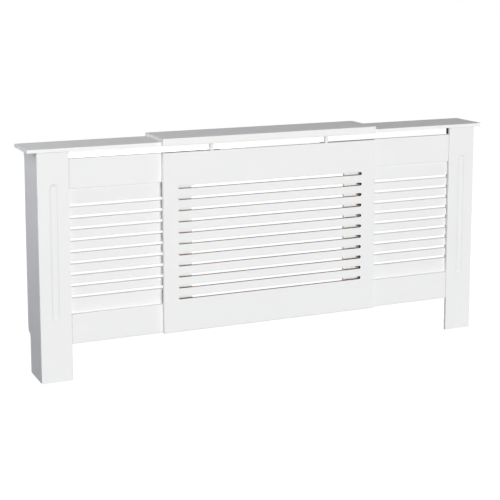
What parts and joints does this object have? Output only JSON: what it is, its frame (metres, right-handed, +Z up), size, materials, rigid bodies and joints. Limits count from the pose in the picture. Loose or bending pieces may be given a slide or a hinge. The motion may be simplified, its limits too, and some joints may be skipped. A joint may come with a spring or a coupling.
{
  "type": "radiator cover cabinet",
  "caption": "Extending white radiator cover: slotted centre unit sliding over two end sections with grilles, fluted pillars, side panels and shelves.",
  "frame": {"origin": "on the floor, under the middle of the cover's length and depth at rest", "axes": "+X to the right seen from the room, +Y from the front towards the wall, +Z up"},
  "size_m": [1.788, 0.1864, 0.8215],
  "materials": {
    "painted_board": "satin white paint on board",
    "raw_board": "bare fibreboard, matt",
    "dowel_wood": "bare beech",
    "zinc_steel": "zinc plated"
  },
  "bodies": {
    "centre_unit": {"centre_front_panel": "painted_board", "centre_lower_guide": "raw_board", "centre_lower_guide_screw_left": "zinc_steel", "centre_lower_guide_screw_right": "zinc_steel", "centre_post_left": "painted_board", "centre_post_right": "painted_board", "centre_post_stud_left": "zinc_steel", "centre_post_stud_right": "zinc_steel", "centre_top_board": "painted_board", "centre_top_fascia": "painted_board", "centre_upper_guide": "raw_board", "centre_upper_guide_screw_left": "zinc_steel", "centre_upper_guide_screw_right": "zinc_steel"},
    "left_section": {"left_bracket_screw_1": "zinc_steel", "left_bracket_screw_2": "zinc_steel", "left_cleat_screw_1": "zinc_steel", "left_cleat_screw_2": "zinc_steel", "left_corner_batten": "raw_board", "left_front_cleat": "raw_board", "left_front_pillar": "painted_board", "left_grille_panel": "painted_board", "left_lower_grille_screw_1": "zinc_steel", "left_lower_grille_screw_2": "zinc_steel", "left_lower_rail": "painted_board", "left_lower_rail_dowel_1": "dowel_wood", "left_lower_rail_dowel_2": "dowel_wood", "left_pillar_grille_screw": "zinc_steel", "left_shelf": "painted_board", "left_side_cleat": "raw_board", "left_side_panel": "painted_board", "left_upper_grille_screw_1": "zinc_steel", "left_upper_grille_screw_2": "zinc_steel", "left_upper_rail": "painted_board", "left_upper_rail_dowel_1": "dowel_wood", "left_upper_rail_dowel_2": "dowel_wood", "left_wall_bracket": "zinc_steel"},
    "right_section": {"right_bracket_screw_1": "zinc_steel", "right_bracket_screw_2": "zinc_steel", "right_cleat_screw_1": "zinc_steel", "right_cleat_screw_2": "zinc_steel", "right_corner_batten": "raw_board", "right_front_cleat": "raw_board", "right_front_pillar": "painted_board", "right_grille_panel": "painted_board", "right_lower_grille_screw_1": "zinc_steel", "right_lower_grille_screw_2": "zinc_steel", "right_lower_rail": "painted_board", "right_lower_rail_dowel_1": "dowel_wood", "right_lower_rail_dowel_2": "dowel_wood", "right_pillar_grille_screw": "zinc_steel", "right_shelf": "painted_board", "right_side_cleat": "raw_board", "right_side_panel": "painted_board", "right_upper_grille_screw_1": "zinc_steel", "right_upper_grille_screw_2": "zinc_steel", "right_upper_rail": "painted_board", "right_upper_rail_dowel_1": "dowel_wood", "right_upper_rail_dowel_2": "dowel_wood", "right_wall_bracket": "zinc_steel"}
  },
  "joints": [
    {"name": "left_section_slide", "type": "slide", "parent": "centre_unit", "child": "left_section", "axis": [-1, 0, 0], "range_m": [-0.198, 0.11]},
    {"name": "right_section_slide", "type": "slide", "parent": "centre_unit", "child": "right_section", "axis": [1, 0, 0], "range_m": [-0.198, 0.11]}
  ]
}
